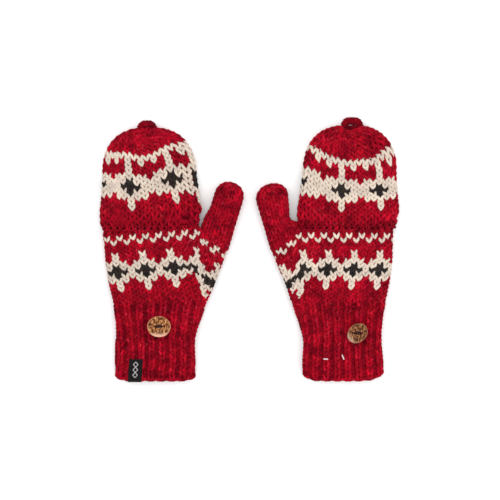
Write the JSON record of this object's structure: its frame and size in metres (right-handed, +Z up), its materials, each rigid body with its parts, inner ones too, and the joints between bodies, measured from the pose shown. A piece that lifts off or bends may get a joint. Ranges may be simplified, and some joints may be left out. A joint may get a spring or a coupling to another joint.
{
  "type": "knitted mittens",
  "caption": "Pair of hand-knit mittens whose caps flip back off half-finger tubes and loop over a wooden button.",
  "frame": {"origin": "on the floor, below the middle of the pair's box", "axes": "+X from the left-hand mitten to the right-hand one, +Y to the fingertips, +Z up, out of the backs of the hands"},
  "size_m": [0.2986, 0.2666, 0.025],
  "materials": {
    "red_wool": "hand-knit heathered wool, red with cream and black colourwork",
    "coconut": "turned coconut shell, satin",
    "thread": "sewing thread",
    "black_tape": "woven tape, blank",
    "white_tape": "woven tape and cotton thread"
  },
  "bodies": {
    "left_mitten": {"left_cuff": "red_wool", "left_hand": "red_wool", "left_knuckles": "red_wool", "left_thumb": "red_wool", "left_index_tube": "red_wool", "left_middle_tube": "red_wool", "left_ring_tube": "red_wool", "left_little_tube": "red_wool", "left_hinge_seam": "red_wool", "left_tab": "black_tape"},
    "left_cap": {"left_cap_back": "red_wool", "left_cap_palm": "red_wool", "left_cap_hem": "red_wool"},
    "left_loop_cord": {"left_loop": "red_wool"},
    "left_button_disc": {"left_button": "coconut", "left_button_thread": "thread"},
    "right_mitten": {"right_cuff": "red_wool", "right_hand": "red_wool", "right_knuckles": "red_wool", "right_thumb": "red_wool", "right_index_tube": "red_wool", "right_middle_tube": "red_wool", "right_ring_tube": "red_wool", "right_little_tube": "red_wool", "right_hinge_seam": "red_wool", "right_care_label": "white_tape", "right_label_stitches": "white_tape"},
    "right_cap": {"right_cap_back": "red_wool", "right_cap_palm": "red_wool", "right_cap_hem": "red_wool"},
    "right_loop_cord": {"right_loop": "red_wool"},
    "right_button_disc": {"right_button": "coconut", "right_button_thread": "thread"}
  },
  "joints": [
    {"name": "left_cap_flip", "type": "hinge", "parent": "left_mitten", "child": "left_cap", "pos_m": [-0.0975, 0.0225, 0.0212], "axis": [1, 0, 0], "range_deg": [0, 176], "deforming": ["left_cap_palm", "left_cap_hem"]},
    {"name": "left_loop_swing", "type": "hinge", "parent": "left_cap", "child": "left_loop_cord", "pos_m": [-0.1019, 0.1244, 0.011], "axis": [1, 0, 0], "range_deg": [-15, 70], "stiffness_Nm_per_rad": 0.002},
    {"name": "left_button_turn", "type": "hinge", "parent": "left_mitten", "child": "left_button_disc", "pos_m": [-0.0895, -0.077, 0.0203], "axis": [0, 0, 1], "range_deg": [-25, 25], "stiffness_Nm_per_rad": 0.002},
    {"name": "right_mitten_apart", "type": "slide", "parent": "left_mitten", "child": "right_mitten", "axis": [1, 0, 0], "range_m": [0, 0.1]},
    {"name": "right_cap_flip", "type": "hinge", "parent": "right_mitten", "child": "right_cap", "pos_m": [0.0975, 0.0225, 0.0212], "axis": [1, 0, 0], "range_deg": [0, 176], "deforming": ["right_cap_palm", "right_cap_hem"]},
    {"name": "right_loop_swing", "type": "hinge", "parent": "right_cap", "child": "right_loop_cord", "pos_m": [0.1019, 0.1269, 0.011], "axis": [1, 0, 0], "range_deg": [-15, 70], "stiffness_Nm_per_rad": 0.002},
    {"name": "right_button_turn", "type": "hinge", "parent": "right_mitten", "child": "right_button_disc", "pos_m": [0.10651, -0.083, 0.0203], "axis": [0, 0, 1], "range_deg": [-25, 25], "stiffness_Nm_per_rad": 0.002}
  ]
}
